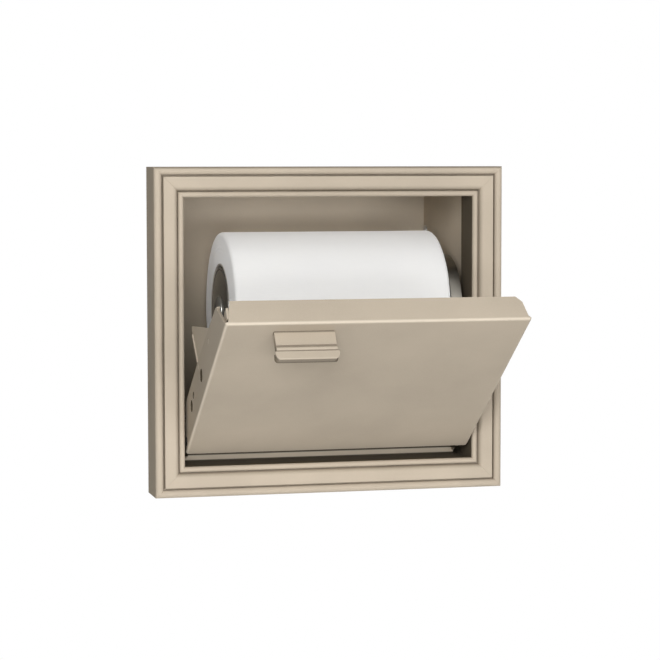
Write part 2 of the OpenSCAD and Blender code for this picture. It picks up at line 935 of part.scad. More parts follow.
module roller_bushes() {
    r_out = roller_r - roller_wall - running;
    color(black_plastic) {
        ring_x(left_bush_x, left_bush_x + bush_len, rod_r + running, r_out);
        ring_x(roller_right - bush_len, roller_right, rod_r + running, r_out);
    }
}

// Dome that closes the free end of the roller, with a skirt inside the sleeve
module roller_end_cap() {
    skirt_r = roller_r - roller_wall - running;
    apex = cap_rim_x - cap_rise;
    dome = arc([0, cap_sphere_r], cap_sphere_r, -90, -90 + asin(cap_rim_r / cap_sphere_r), 14);
    shell_r = cap_sphere_r - cap_shell;
    inner = arc([0, cap_sphere_r], shell_r, -90 + asin((skirt_r - cap_shell) / shell_r), -90, 12);
    color(dark_nickel)
        translate([apex, roll_y, roll_z])
            rotate([0, 90, 0])
                rotate_extrude()
                    polygon(concat(dome,
                                   [[cap_rim_r, roller_left - apex - 0.2],
                                    [skirt_r, roller_left - apex - 0.2],
                                    [skirt_r, roller_left - apex + cap_skirt],
                                    [skirt_r - cap_shell, roller_left - apex + cap_skirt]],
                                   inner));
}

module roll_core() {
    color("#b49b7a")
        ring_x(roll_left, roll_right, core_r, core_r + core_wall);
}

module paper_roll() {
    color("#f2f2f2")
        ring_x(roll_left, roll_right, core_r + core_wall + running, roll_dia / 2);
}

rail_top();
rail_bottom();
rail_left();
rail_right();
corner_keys();
key_screws();
recess_wrap();
recess_back();
seam_rivets();
frame_clips();
clip_rivets();
hinge_bracket();
bracket_screws();
hinge_pin_left();
hinge_pin_right();
catch_body();
catch_magnet();
catch_screws();
roll_arm();
arm_screws();
socket_magnet();
door_panel();
door_pull();
pull_rivets();
catch_blade();
blade_rivets();
hinge_bushes();
stop_pins();
spindle_rod();
retaining_washer();
retaining_screw();
roller_sleeve();
roller_bushes();
roller_end_cap();
roll_core();
paper_roll();
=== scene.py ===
import json
import math
import random

import bmesh
import bpy
from mathutils import Matrix, Vector, noise


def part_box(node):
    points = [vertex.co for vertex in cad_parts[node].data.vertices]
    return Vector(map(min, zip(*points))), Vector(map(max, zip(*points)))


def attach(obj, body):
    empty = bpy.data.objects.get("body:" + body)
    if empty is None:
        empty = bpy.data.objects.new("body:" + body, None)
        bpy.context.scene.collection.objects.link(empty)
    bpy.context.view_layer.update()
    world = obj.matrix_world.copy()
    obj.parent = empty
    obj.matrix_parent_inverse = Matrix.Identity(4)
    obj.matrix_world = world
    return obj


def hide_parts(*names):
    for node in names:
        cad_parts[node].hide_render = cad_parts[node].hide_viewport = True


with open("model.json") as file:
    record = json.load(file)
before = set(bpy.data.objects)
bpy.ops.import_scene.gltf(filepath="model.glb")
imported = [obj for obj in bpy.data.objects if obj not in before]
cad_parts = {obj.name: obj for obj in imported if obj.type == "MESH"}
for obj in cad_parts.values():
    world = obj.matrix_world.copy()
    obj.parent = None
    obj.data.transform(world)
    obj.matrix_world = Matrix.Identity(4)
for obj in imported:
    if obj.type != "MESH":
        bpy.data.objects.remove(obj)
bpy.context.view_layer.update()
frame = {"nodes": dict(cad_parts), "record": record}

mm = 0.001
random.seed(7)

# aim and distance in mm, angles in degrees
camera = {
    "aim": (-0.96, -24.0, 0.23), "distance": 1165.0,
    "turn": 13.89, "tilt": 4.20, "lean": 0.07,
    "lens": 124.8, "sensorWidth": 36, "nearest": 0.05,
}

# lengths in metres
studio = {
    "fill": 0.225,                    # light that comes from all round
    "fillTone": (1.0, 0.98, 0.90, 1),
    "lampAim": (0, 0, 0),
    # spot, size and power of each lamp
    "lamps": {
        "mainLamp": ((-0.36, -1.10, 0.29), (0.5, 0.44), 8.8),
        "sideLamp": ((0.94, -1.62, 0.33), (1.5, 1.2), 4.0),
        "lowLamp": ((0.0, -1.85, -0.14), (1.4, 0.25), 9.5),
        "backLamp": ((0.4, 1.85, 0.6), (1.2, 1.0), 10.0),
    },
    "floorHeight": -0.30, "floorHalf": 6.0, "floorTone": (0.90, 0.90, 0.90, 1),
    "floorWhite": 0.86, "floorWhiteShare": 0.8, "floorExtra": 0.2,    # where it is seen directly
    "wallHalf": 3.0, "wallBehind": 0.0001, "wallHole": (0.0789, 0.0712),    # half the opening
}
white, black = (1, 1, 1, 1), (0, 0, 0, 1)
squareCorners = [(-1, -1), (1, -1), (1, 1), (-1, 1)]


def placed(name, data):
    # puts a new object in the scene
    made = bpy.data.objects.new(name, data)
    bpy.context.scene.collection.objects.link(made)
    return made


def makeCamera():
    turn, tilt, lean = (math.radians(camera[k]) for k in ("turn", "tilt", "lean"))
    ahead = Vector((math.sin(turn) * math.cos(tilt), math.cos(turn) * math.cos(tilt), -math.sin(tilt)))
    across = Vector((math.cos(turn), -math.sin(turn), 0))
    down = ahead.cross(across)
    right = across * math.cos(lean) + down * math.sin(lean)
    below = down * math.cos(lean) - across * math.sin(lean)
    spot = (Vector(camera["aim"]) - ahead * camera["distance"]) * mm
    lensData = bpy.data.cameras.new("camera")
    lensData.lens = camera["lens"]
    lensData.sensor_width = camera["sensorWidth"]
    lensData.clip_start = camera["nearest"]
    holder = placed("camera", lensData)
    holder.matrix_world = Matrix((
        (right.x, -below.x, -ahead.x, spot.x),
        (right.y, -below.y, -ahead.y, spot.y),
        (right.z, -below.z, -ahead.z, spot.z),
        (0, 0, 0, 1)))
    bpy.context.scene.camera = holder


def makeLamp(name, spot, size, power):
    lamp = bpy.data.lights.new(name, "AREA")
    lamp.shape = "RECTANGLE"
    lamp.size, lamp.size_y = size
    lamp.energy = power
    holder = placed(name, lamp)
    holder.location = spot
    toAim = Vector(studio["lampAim"]) - Vector(spot)
    holder.rotation_euler = toAim.to_track_quat("-Z", "Y").to_euler()


def setInput(tree, socket, value):
    # a value is a number, a colour or another node's output
    if isinstance(value, bpy.types.NodeSocket):
        tree.links.new(value, socket)
    else:
        socket.default_value = value


def addNode(tree, kind, settings=None, **inputs):
    made = tree.nodes.new(kind)
    for key, value in (settings or {}).items():
        setattr(made, key, value)
    for key, value in inputs.items():
        setInput(tree, made.inputs[key.replace("_", " ")], value)
    return made


def mathOf(tree, operation, *values):
    made = addNode(tree, "ShaderNodeMath", {"operation": operation})
    for socket, value in zip(made.inputs, values):
        setInput(tree, socket, value)
    return made.outputs[0]


def mixOf(tree, share, first, second):
    made = addNode(tree, "ShaderNodeMixShader")
    for socket, value in zip(made.inputs, (share, first, second)):
        setInput(tree, socket, value)
    return made.outputs[0]


def glowOf(tree, tone, strength):
    return addNode(tree, "ShaderNodeEmission", Color=tone, Strength=strength).outputs[0]


def clearOf(tree):
    return addNode(tree, "ShaderNodeBsdfTransparent", Color=white).outputs[0]


def fromBehind(tree):
    return addNode(tree, "ShaderNodeNewGeometry").outputs["Backfacing"]


def seenDirectly(tree):
    # 1 for rays from the eye, and for those seen in gloss or through glass
    path = addNode(tree, "ShaderNodeLightPath").outputs
    either = mathOf(tree, "MAXIMUM", path["Is Camera Ray"], path["Is Glossy Ray"])
    return mathOf(tree, "MAXIMUM", either, path["Is Transmission Ray"])


def emptyMaterial(name):
    material = bpy.data.materials.new(name)
    material.use_nodes = True
    material.node_tree.nodes.clear()
    return material, material.node_tree


def showSurface(tree, surface):
    addNode(tree, "ShaderNodeOutputMaterial", Surface=surface)


def makeWorld():
    scene = bpy.context.scene
    scene.view_settings.view_transform = "Standard"
    world = bpy.data.worlds.new("studio")
    scene.world = world
    world.use_nodes = True
    tree = world.node_tree
    tree.nodes.clear()
    around = addNode(tree, "ShaderNodeBackground", Color=studio["fillTone"], Strength=studio["fill"])
    backdrop = addNode(tree, "ShaderNodeBackground", Color=white, Strength=1.0)
    shown = mixOf(tree, seenDirectly(tree), around.outputs[0], backdrop.outputs[0])
    addNode(tree, "ShaderNodeOutputWorld", Surface=shown)


def makeFloor():
    half, height = studio["floorHalf"], studio["floorHeight"]
    mesh = bpy.data.meshes.new("floor")
    mesh.from_pydata([(x * half, y * half, height) for x, y in squareCorners], [], [(0, 1, 2, 3)])
    floor = placed("floor", mesh)
    pale, tree = emptyMaterial("paleFloor")
    matt = addNode(tree, "ShaderNodeBsdfDiffuse", Color=studio["floorTone"]).outputs[0]
    share = mathOf(tree, "MULTIPLY", seenDirectly(tree), studio["floorWhiteShare"])
    lifted = mixOf(tree, share, matt, glowOf(tree, white, studio["floorWhite"]))
    extra = mixOf(tree, seenDirectly(tree), glowOf(tree, black, 0.0),
                  glowOf(tree, white, studio["floorExtra"]))
    total = addNode(tree, "ShaderNodeAddShader")
    tree.links.new(lifted, total.inputs[0])
    tree.links.new(extra, total.inputs[1])
    # seen from underneath, the floor is clear
    showSurface(tree, mixOf(tree, fromBehind(tree), total.outputs[0], clearOf(tree)))
    mesh.materials.append(pale)


def makeWall():
    # the wall that the recess is let into, which is only seen from the front
    half, hole, behind = studio["wallHalf"], studio["wallHole"], studio["wallBehind"]
    points = [(x * half, behind, max(z * half, studio["floorHeight"])) for x, z in squareCorners]
    points += [(x * hole[0], behind, z * hole[1]) for x, z in squareCorners]
    sides = [(k, (k + 1) % 4, (k + 1) % 4 + 4, k + 4) for k in range(4)]
    mesh = bpy.data.meshes.new("wall")
    mesh.from_pydata(points, [], sides)
    wall = placed("wall", mesh)
    paleWall, tree = emptyMaterial("whiteWall")
    front = mathOf(tree, "SUBTRACT", 1, fromBehind(tree))
    shown = mathOf(tree, "MULTIPLY", front, seenDirectly(tree))
    showSurface(tree, mixOf(tree, shown, clearOf(tree), glowOf(tree, white, 1.0)))
    mesh.materials.append(paleWall)


print("camera and studio")
makeCamera()
makeWorld()
makeFloor()
makeWall()
for name, (spot, size, power) in studio["lamps"].items():
    makeLamp(name, spot, size, power)


def startMaterial(name, **sockets):
    material, tree = emptyMaterial(name)
    shader = addNode(tree, "ShaderNodeBsdfPrincipled", **sockets)
    showSurface(tree, shader.outputs[0])
    place = addNode(tree, "ShaderNodeTexCoord").outputs["Object"]
    return material, tree, shader, place


def stretched(tree, place, scale):
    return addNode(tree, "ShaderNodeMapping", Vector=place, Scale=scale).outputs[0]


def noiseOf(tree, place, scale, detail=2.0, roughness=0.5):
    return addNode(tree, "ShaderNodeTexNoise", Vector=place, Scale=scale, Detail=detail,
                   Roughness=roughness).outputs["Fac"]


def spread(tree, value, low, high, fromLow=0.3, fromHigh=0.7):
    return addNode(tree, "ShaderNodeMapRange", Value=value, From_Min=fromLow, From_Max=fromHigh,
                   To_Min=low, To_Max=high).outputs[0]


def blendTones(tree, share, *tones):
    made = addNode(tree, "ShaderNodeMix", {"data_type": "RGBA"})
    tree.links.new(share, made.inputs[0])
    for place, tone in zip((6, 7), tones):    # this node's two colour inputs
        isSocket = isinstance(tone, bpy.types.NodeSocket)
        setInput(tree, made.inputs[place], tone if isSocket else (*tone, 1))
    return made.outputs[2]


def bumpFrom(tree, shader, height, distance, strength):
    made = addNode(tree, "ShaderNodeBump", Height=height, Strength=strength, Distance=distance)
    tree.links.new(made.outputs[0], shader.inputs["Normal"])


def layerOf(tree, name):
    return addNode(tree, "ShaderNodeAttribute", {"attribute_name": name}).outputs["Fac"]


def edgeShare(tree, gain):
    return mathOf(tree, "MULTIPLY", layerOf(tree, "edgeWearAndHighlight"), gain)


def toneShift(tone, factor):
    return tuple(min(1, c * factor) for c in tone)


# painted shade that darkens away from a given height: the height that stays unshaded, and the distances
# from it at which the shade starts and is full, in metres
paintLook = {
    "champagneFrame": {"tone": (0.468, 0.402, 0.322), "coat": 0.10, "heightShade": None},
    "champagneDoor": {"tone": (0.430, 0.370, 0.296), "coat": 0.20, "heightShade": None},
    # inside the recess, painted shade that darkens towards the bottom
    "champagneRecess": {
        "tone": (0.590, 0.510, 0.405), "coat": 0.35,
        "heightShade": {"unshadedHeight": 0.070, "reach": (0.030, 0.115), "most": 0.85, "tone": (0.090, 0.074, 0.048)}},
    # the bracket in painted shade, but for a narrow band that keeps its own tone
    "champagneBracket": {
        "tone": (0.590, 0.510, 0.405), "coat": 0.25,
        "heightShade": {"unshadedHeight": -0.0662, "reach": (0.001, 0.0014), "most": 0.95, "tone": (0.05, 0.04, 0.025)}},
    "coatRough": 0.4, "rough": (0.37, 0.48), "roughScale": 60.0,
    "cloud": 22.0, "cloudTones": (0.94, 1.06),
    "fleck": 3200.0, "fleckFrom": (0.45, 0.75), "fleckMost": 0.16, "fleckTone": 1.35,
    # edges and bends are lighter, as wear and as a painted highlight
    "rubbedAndHighlight": 0.9, "rubbedAndHighlightTone": (0.74, 0.66, 0.55),
    # the tone of painted shade in grooves, gaps and holes
    "paintedShadeTone": (0.060, 0.047, 0.030),
    "peel": 900.0, "peelDepth": 0.00002, "bump": 0.6,
}


def makePaint(name):
    p, own = paintLook, paintLook[name]
    heightShade = own["heightShade"]
    material, tree, shader, place = startMaterial(
        name, Coat_Weight=own["coat"], Coat_Roughness=p["coatRough"], Specular_IOR_Level=0.0)
    cloud = spread(tree, noiseOf(tree, place, p["cloud"], detail=4.0), 0, 1)
    body = blendTones(tree, cloud, *(toneShift(own["tone"], factor) for factor in p["cloudTones"]))
    fleck = spread(tree, noiseOf(tree, place, p["fleck"], detail=1.0), 0, p["fleckMost"], *p["fleckFrom"])
    flecked = blendTones(tree, fleck, body, toneShift(own["tone"], p["fleckTone"]))
    # rounded edges and bends lighter, as wear and painted highlight
    edged = blendTones(tree, edgeShare(tree, p["rubbedAndHighlight"]), flecked, p["rubbedAndHighlightTone"])
    # painted shade lies where the mesh marks it, and on the recess and bracket it darkens only away from
    # the unshaded height
    shadeMark = layerOf(tree, "paintedShade")
    if heightShade:
        height = addNode(tree, "ShaderNodeSeparateXYZ", Vector=place).outputs[2]
        away = mathOf(tree, "ABSOLUTE", mathOf(tree, "SUBTRACT", height, heightShade["unshadedHeight"]))
        shadeMark = mathOf(tree, "MULTIPLY", shadeMark, spread(tree, away, 0.0, heightShade["most"], *heightShade["reach"]))
    shaded = blendTones(tree, shadeMark, edged, heightShade["tone"] if heightShade else p["paintedShadeTone"])
    tree.links.new(shaded, shader.inputs["Base Color"])
    rough = spread(tree, noiseOf(tree, place, p["roughScale"], detail=3.0), *p["rough"])
    tree.links.new(rough, shader.inputs["Roughness"])
    bumpFrom(tree, shader, noiseOf(tree, place, p["peel"]), p["peelDepth"], p["bump"])
    return material


metalLook = {
    "satinNickel": {"tone": (0.25, 0.235, 0.205), "metallic": 1.0, "rough": (0.31, 0.41),
                    "grain": (30.0, 900.0, 900.0), "grainDepth": 0.00001},
    "darkNickel": {"tone": (0.27, 0.265, 0.245), "metallic": 0.55, "rough": (0.20, 0.24),
                   "grain": (60.0, 60.0, 60.0), "grainDepth": 0.000002},
    "cloud": 90.0, "cloudTones": (0.9, 1.08), "rubbedAndHighlight": 0.6, "rubbedAndHighlightTone": 1.35, "bump": 0.5,
}


def makeMetal(name):
    m, own = metalLook, metalLook[name]
    material, tree, shader, place = startMaterial(name, Metallic=own["metallic"])
    streak = noiseOf(tree, stretched(tree, place, own["grain"]), 1.0, detail=3.0)
    cloud = spread(tree, noiseOf(tree, place, m["cloud"], detail=3.0), 0, 1)
    body = blendTones(tree, cloud, *(toneShift(own["tone"], factor) for factor in m["cloudTones"]))
    edged = blendTones(tree, edgeShare(tree, m["rubbedAndHighlight"]), body, toneShift(own["tone"], m["rubbedAndHighlightTone"]))
    tree.links.new(edged, shader.inputs["Base Color"])
    tree.links.new(spread(tree, streak, *own["rough"]), shader.inputs["Roughness"])
    bumpFrom(tree, shader, streak, own["grainDepth"], m["bump"])
    return material


zincLook = {
    "spangle": 700.0, "tones": ((0.50, 0.51, 0.53), (0.66, 0.67, 0.69)), "rough": (0.26, 0.42),
    "rubbedAndHighlight": 0.5, "rubbedAndHighlightTone": (0.78, 0.78, 0.79), "grain": 1500.0, "grainDepth": 0.00001, "bump": 0.4,
}


def makeZinc():
    z = zincLook
    material, tree, shader, place = startMaterial("zincPlate", Metallic=1.0)
    spangle = addNode(tree, "ShaderNodeTexVoronoi", Vector=place, Scale=z["spangle"]).outputs["Color"]
    split = addNode(tree, "ShaderNodeSeparateColor", Color=spangle).outputs
    body = blendTones(tree, split[0], *z["tones"])
    edged = blendTones(tree, edgeShare(tree, z["rubbedAndHighlight"]), body, z["rubbedAndHighlightTone"])
    tree.links.new(edged, shader.inputs["Base Color"])
    rough = spread(tree, split[1], *z["rough"], fromLow=0, fromHigh=1)
    tree.links.new(rough, shader.inputs["Roughness"])
    bumpFrom(tree, shader, noiseOf(tree, place, z["grain"]), z["grainDepth"], z["bump"])
    return material


nylonLook = {
    "grain": 2200.0, "tones": ((0.018, 0.018, 0.019), (0.042, 0.042, 0.043)), "rough": (0.42, 0.58),
    "rubbedAndHighlight": 0.6, "rubbedAndHighlightTone": (0.10, 0.10, 0.10), "grainDepth": 0.00003, "bump": 0.5, "gloss": 0.45,
}


def makePlastic():
    p = nylonLook
    material, tree, shader, place = startMaterial("blackNylon", Specular_IOR_Level=p["gloss"])
    grain = noiseOf(tree, place, p["grain"], detail=3.0)
    body = blendTones(tree, spread(tree, grain, 0, 1), *p["tones"])
    edged = blendTones(tree, edgeShare(tree, p["rubbedAndHighlight"]), body, p["rubbedAndHighlightTone"])
    tree.links.new(edged, shader.inputs["Base Color"])
    tree.links.new(spread(tree, grain, *p["rough"]), shader.inputs["Roughness"])
    bumpFrom(tree, shader, grain, p["grainDepth"], p["bump"])
    return material


cardboardLook = {
    "fibre": (400.0, 2400.0, 2400.0), "tones": ((0.60, 0.56, 0.50), (0.72, 0.68, 0.62)),
    "blotch": 160.0, "blotchMost": 0.35, "blotchTone": (0.52, 0.47, 0.40),
    "rough": 0.9, "gloss": 0.2, "fibreDepth": 0.00008, "bump": 0.7,
}


def makeCardboard():
    c = cardboardLook
    material, tree, shader, place = startMaterial(
        "cardboard", Roughness=c["rough"], Specular_IOR_Level=c["gloss"])
    fibre = noiseOf(tree, stretched(tree, place, c["fibre"]), 1.0, detail=4.0)
    blotch = noiseOf(tree, place, c["blotch"], detail=3.0)
    body = blendTones(tree, spread(tree, fibre, 0, 1), *c["tones"])
    body = blendTones(tree, spread(tree, blotch, 0, c["blotchMost"]), body, c["blotchTone"])
    tree.links.new(body, shader.inputs["Base Color"])
    bumpFrom(tree, shader, fibre, c["fibreDepth"], c["bump"])
    return material


tissueLook = {
    "soft": 40.0, "tones": ((0.955, 0.955, 0.96), (0.98, 0.98, 0.975)),
    "crepe": (260.0, 1500.0, 1500.0), "crepeMost": 0.25, "crepeTone": (0.92, 0.92, 0.925),
    "softRise": 1.5, "depth": 0.00012, "bump": 0.8,
    "rough": 0.95, "gloss": 0.15, "sheen": 1.0, "sheenRough": 0.65,
    "through": 0.25, "throughDepth": 0.006,      # light that passes into the paper
}


def makeTissue():
    t = tissueLook
    material, tree, shader, place = startMaterial(
        "tissue", Roughness=t["rough"], Specular_IOR_Level=t["gloss"], Sheen_Weight=t["sheen"],
        Sheen_Roughness=t["sheenRough"], Subsurface_Weight=t["through"], Subsurface_Radius=(1, 1, 1),
        Subsurface_Scale=t["throughDepth"])
    crepe = noiseOf(tree, stretched(tree, place, t["crepe"]), 1.0, detail=4.0, roughness=0.6)
    soft = noiseOf(tree, place, t["soft"], detail=3.0)
    body = blendTones(tree, spread(tree, soft, 0, 1), *t["tones"])
    body = blendTones(tree, spread(tree, crepe, 0, t["crepeMost"]), body, t["crepeTone"])
    tree.links.new(body, shader.inputs["Base Color"])
    height = mathOf(tree, "MULTIPLY_ADD", soft, t["softRise"], crepe)
    bumpFrom(tree, shader, height, t["depth"], t["bump"])
    return material


print("finishes")
finish = {
    "frame_paint": makePaint("champagneFrame"),
    "door_paint": makePaint("champagneDoor"),
    "recess_paint": makePaint("champagneRecess"),
    "bracket": makePaint("champagneBracket"),
    "nickel": makeMetal("satinNickel"),
    "dark_nickel": makeMetal("darkNickel"),
    "zinc": makeZinc(),
    "black_plastic": makePlastic(),
    "cardboard": makeCardboard(),
    "paper": makeTissue(),
}
slotOf = {part["node"]: part["material_slot"] for part in frame["record"]["subparts"]}
bodyOf = {node: body for body, nodes in frame["record"]["behaviour"]["bodies"].items() for node in nodes}

# the bracket is painted dark as painted shade but for a narrow band at one height, and the rivets were
# painted with the door
ownFinish = {"hinge_bracket": "bracket", "blade_rivets": "door_paint", "pull_rivets": "door_paint"}

# where painted shade lies: on all of the bracket, and on what faces the middle of the recess
shadedNodes = ("recess_wrap", "recess_back", "hinge_bracket")
recessMiddle = (0, 30, 0)

# points closer than these are one point, in metres
merge = {"loaded": 2e-6, "turned": 0.5e-6, "folded": 1e-6}
flatWithin = 0.6                      # degrees between faces that become one


def wearAndHighlightLayer(bm):
    layers = bm.verts.layers.float
    return layers.get("edgeWearAndHighlight") or layers.new("edgeWearAndHighlight")


def softenEdges(bm, width, segments=2, angle=28.0, picked=None, clamp=True):
    # rounds the sharp edges a little and marks the rounding as worn, which the paint also shows as a
    # painted highlight
    wearAndHighlightMark = wearAndHighlightLayer(bm)
    edges = picked
    if edges is None:
        limit = math.radians(angle)
        edges = [e for e in bm.edges if len(e.link_faces) == 2 and e.calc_face_angle(0) > limit]
    made = bmesh.ops.bevel(bm, geom=edges, offset=width, segments=segments, profile=0.5,
                           affect="EDGES", clamp_overlap=clamp, material=-1)
    fresh = set(made["faces"])
    for vert in {v for f in fresh for v in f.verts}:
        if all(f in fresh for f in vert.link_faces):
            vert[wearAndHighlightMark] = 1.0


def objectOf(bm, name):
    mesh = bpy.data.meshes.new(name)
    bm.to_mesh(mesh)
    bm.free()
    return placed(name, mesh)


def finishPiece(bm, name, node, replaced, sharpAngle=38.0, weighted=True):
    wearAndHighlightLayer(bm)
    bmesh.ops.recalc_face_normals(bm, faces=bm.faces)
    limit = math.radians(sharpAngle)
    for face in bm.faces:
        face.smooth = True
    for edge in bm.edges:
        edge.smooth = len(edge.link_faces) != 2 or edge.calc_face_angle(0) < limit
    piece = objectOf(bm, name)
    piece.data.materials.append(finish[ownFinish.get(node, slotOf[node])])
    if weighted:
        normals = piece.modifiers.new("evenShading", "WEIGHTED_NORMAL")
        normals.keep_sharp = True
    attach(piece, bodyOf[node])
    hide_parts(*replaced)


def meshFrom(points, faces):
    bm = bmesh.new()
    verts = [bm.verts.new(Vector(p) * mm) for p in points]
    for face in faces:
        bm.faces.new([verts[i] for i in face])
    bmesh.ops.recalc_face_normals(bm, faces=bm.faces)
    return bm


def prismFaces(count):
    # the sides and the two ends, for the points of one end and then those of the other
    faces = [(k, (k + 1) % count, count + (k + 1) % count, count + k) for k in range(count)]
    return faces + [tuple(range(count)), tuple(range(2 * count - 1, count - 1, -1))]


def rounded(outline, radius, steps, turn, longest=0.45):
    # rounds each corner of a closed outline that turns by more than this
    result = []
    count = len(outline)
    for i, point in enumerate(outline):
        here, before, after = Vector(point), Vector(outline[i - 1]), Vector(outline[(i + 1) % count])
        back, on = before - here, after - here
        bend = math.pi - back.angle(on)
        if bend < math.radians(turn):
            result.append(tuple(here))
            continue
        reach = min(radius * math.tan(bend / 2), longest * back.length, longest * on.length)
        start, stop = here + back.normalized() * reach, here + on.normalized() * reach
        for k in range(steps + 1):
            t = k / steps
            result.append(tuple(start * (1 - t) ** 2 + here * 2 * t * (1 - t) + stop * t * t))
    return result


def arcPoints(u, v, radius, start, stop, steps):
    points = []
    for k in range(steps + 1):
        a = math.radians(start + (stop - start) * k / steps)
        points.append((u + radius * math.cos(a), v + radius * math.sin(a)))
    return points


def turned(profile, centre, steps, wobble=None):
    # turns a closed [x, radius] outline round the X axis through centre (y, z)
    points, faces = [], []
    count = len(profile)
    for s in range(steps):
        a = 2 * math.pi * s / steps
        for x, r in profile:
            if wobble:
                x, r = wobble(x, r, a)
            points.append((x, centre[0] + r * math.cos(a), centre[1] + r * math.sin(a)))
    for s in range(steps):
        n = (s + 1) % steps
        for k in range(count):
            m = (k + 1) % count
            faces.append((s * count + k, s * count + m, n * count + m, n * count + k))
    bm = meshFrom(points, faces)
    bmesh.ops.remove_doubles(bm, verts=bm.verts, dist=merge["turned"])
    bmesh.ops.dissolve_degenerate(bm, edges=bm.edges, dist=merge["turned"])
    return bm


def nodeBox(node):
    low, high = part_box(node)
    return Vector(low) / mm, Vector(high) / mm


def softenedNode(node, width, segments):
    # the construction's own shape with its edges rounded
    bm = bmesh.new()
    bm.from_mesh(frame["nodes"][node].data)
    bmesh.ops.remove_doubles(bm, verts=bm.verts, dist=merge["loaded"])
    bmesh.ops.dissolve_limit(bm, angle_limit=math.radians(flatWithin), verts=bm.verts, edges=bm.edges)
    softenEdges(bm, width * mm, segments)
    if node in shadedNodes:
        shadeMark = bm.faces.layers.float.new("paintedShade")
        middle = Vector(recessMiddle) * mm
        for face in bm.faces:
            inward = face.normal.dot(middle - face.calc_center_median()) > 0
            face[shadeMark] = 1.0 if inward or node == "hinge_bracket" else 0.0
    finishPiece(bm, node + "Piece", node, [node])


# the frame's moulding in mm: across it from the outer edge, and depth from its front
moulding = {
    "outerBead": 2.0, "outerBeadEnd": 345, "outerBeadSteps": 16,
    "grooveAt": 4.3, "grooveDepth": 3.4, "grooveHalf": 0.35, "bandAt": 4.9, "bandDepth": 0.6,
    "roundRadius": 2.4, "roundEnd": 12.0, "roundSteps": 12,
    "innerGroove": 12.5, "innerGrooveDepth": 4.4, "innerBead": 1.4, "innerBeadAt": 13.9,
    "innerBeadDepth": 3.3, "innerBeadSteps": 14, "openingFrom": 0.8,
    "width": 15.3, "outerWall": 2.4, "innerWall": 1.6, "hollowFrom": 7.0, "flangeRoom": 1.4,
    "corner": 0.16, "cornerTurn": 26, "mitreGap": 0.012, "mitreRound": 0.05,
}


def mouldingOutline(front):
    m = moulding
    outline = [(0, -front)]
    outline += arcPoints(m["outerBead"], m["outerBead"], m["outerBead"], 180, m["outerBeadEnd"],
                         m["outerBeadSteps"])
    outline += [(m["grooveAt"] - m["grooveHalf"], m["grooveDepth"]),
                (m["grooveAt"] + m["grooveHalf"], m["grooveDepth"]),
                (m["bandAt"], m["bandDepth"])]
    outline += arcPoints(m["roundEnd"] - m["roundRadius"], m["bandDepth"] + m["roundRadius"],
                         m["roundRadius"], 270, 360, m["roundSteps"])
    outline += [(m["innerGroove"], m["innerGrooveDepth"])]
    outline += arcPoints(m["innerBeadAt"], m["innerBeadDepth"], m["innerBead"], 180, 360,
                         m["innerBeadSteps"])
    outline += [(m["width"], m["innerBeadDepth"] + m["openingFrom"]),
                (m["width"], -front - m["flangeRoom"]),
                (m["width"] - m["innerWall"], -front - m["flangeRoom"]),
                (m["width"] - m["innerWall"], m["hollowFrom"]),
                (m["outerWall"], m["hollowFrom"]),
                (m["outerWall"], -front)]
    softer = rounded(outline, m["corner"], steps=3, turn=m["cornerTurn"])
    return [(u, depth + front) for u, depth in softer]


# how much painted shade each place gets, and how far from its line a place still counts, in mm
frameShade = {
    "topWall": 0.34, "topInset": 0.9, "topDepth": 0.2, "wall": 0.26, "atWall": 0.01,
    "opening": 0.88, "openingInset": 0.2, "openingDepth": 0.6,
    "outerGroove": 0.42, "outerReach": 0.1, "outerDepth": 0.9, "innerGroove": 0.3, "innerReach": 0.2,
    "bottomShare": 0.45, "roundOver": 0.34, "roundBack": 0.5, "roundStop": 0.3,
}


def paintedShadeAt(side, u, depth):
    # painted shade in both grooves, on the wall of the opening and on the outer walls, most of all on top
    m, g = moulding, frameShade
    if side == "top" and u < g["topInset"] and depth > g["topDepth"]:
        return g["topWall"]
    if u < g["atWall"] and depth > m["outerBead"] - g["atWall"]:
        return g["wall"]
    if u > m["width"] - g["openingInset"] and depth > m["innerBeadDepth"] + g["openingDepth"]:
        return g["opening"]
    # the grooves of the bottom rail get less painted shade, as if light falls from above
    share = g["bottomShare"] if side == "bottom" else 1.0
    inOuter = abs(u - m["grooveAt"]) < m["grooveHalf"] + g["outerReach"]
    if inOuter and depth > m["bandDepth"] + g["outerDepth"]:
        return g["outerGroove"] * share
    if abs(u - m["innerGroove"]) < g["innerReach"] and depth > m["innerBeadDepth"]:
        return g["innerGroove"] * share
    if u >= m["innerGroove"] - g["roundStop"]:
        return 0.0
    # painted shade: the round-over darkens softly towards the inner groove
    start = m["innerGroove"] - g["roundBack"] - m["roundRadius"]
    over = min(1, max(0, (u - start) / m["roundRadius"]))
    return g["roundOver"] * over ** 2


def makeRail(side):
    low, high = nodeBox("rail_bottom")
    halfWide, halfHigh = high.x, nodeBox("rail_top")[1].z
    outline = mouldingOutline(low.y)
    gap = moulding["mitreGap"]
    points = []
    for end in (-1, 1):
        for u, y in outline:
            if side in ("bottom", "top"):
                up = -1 if side == "bottom" else 1
                points.append((end * (halfWide - u - gap), y, up * (halfHigh - u)))
            else:
                out = -1 if side == "left" else 1
                points.append((out * (halfWide - u), y, end * (halfHigh - u - gap)))
    bm = meshFrom(points, prismFaces(len(outline)))
    shadeMark = bm.verts.layers.float.new("paintedShade")
    for k, vert in enumerate(bm.verts):
        u, y = outline[k % len(outline)]
        vert[shadeMark] = paintedShadeAt(side, u, y - low.y)
    ends = sorted(bm.faces, key=lambda f: -len(f.verts))[:2]
    softenEdges(bm, moulding["mitreRound"] * mm, 1, picked=list({e for f in ends for e in f.edges}))
    node = "rail_" + side
    finishPiece(bm, side + "Rail", node, [node], sharpAngle=50)


print("frame")
for side in ("top", "bottom", "left", "right"):
    makeRail(side)

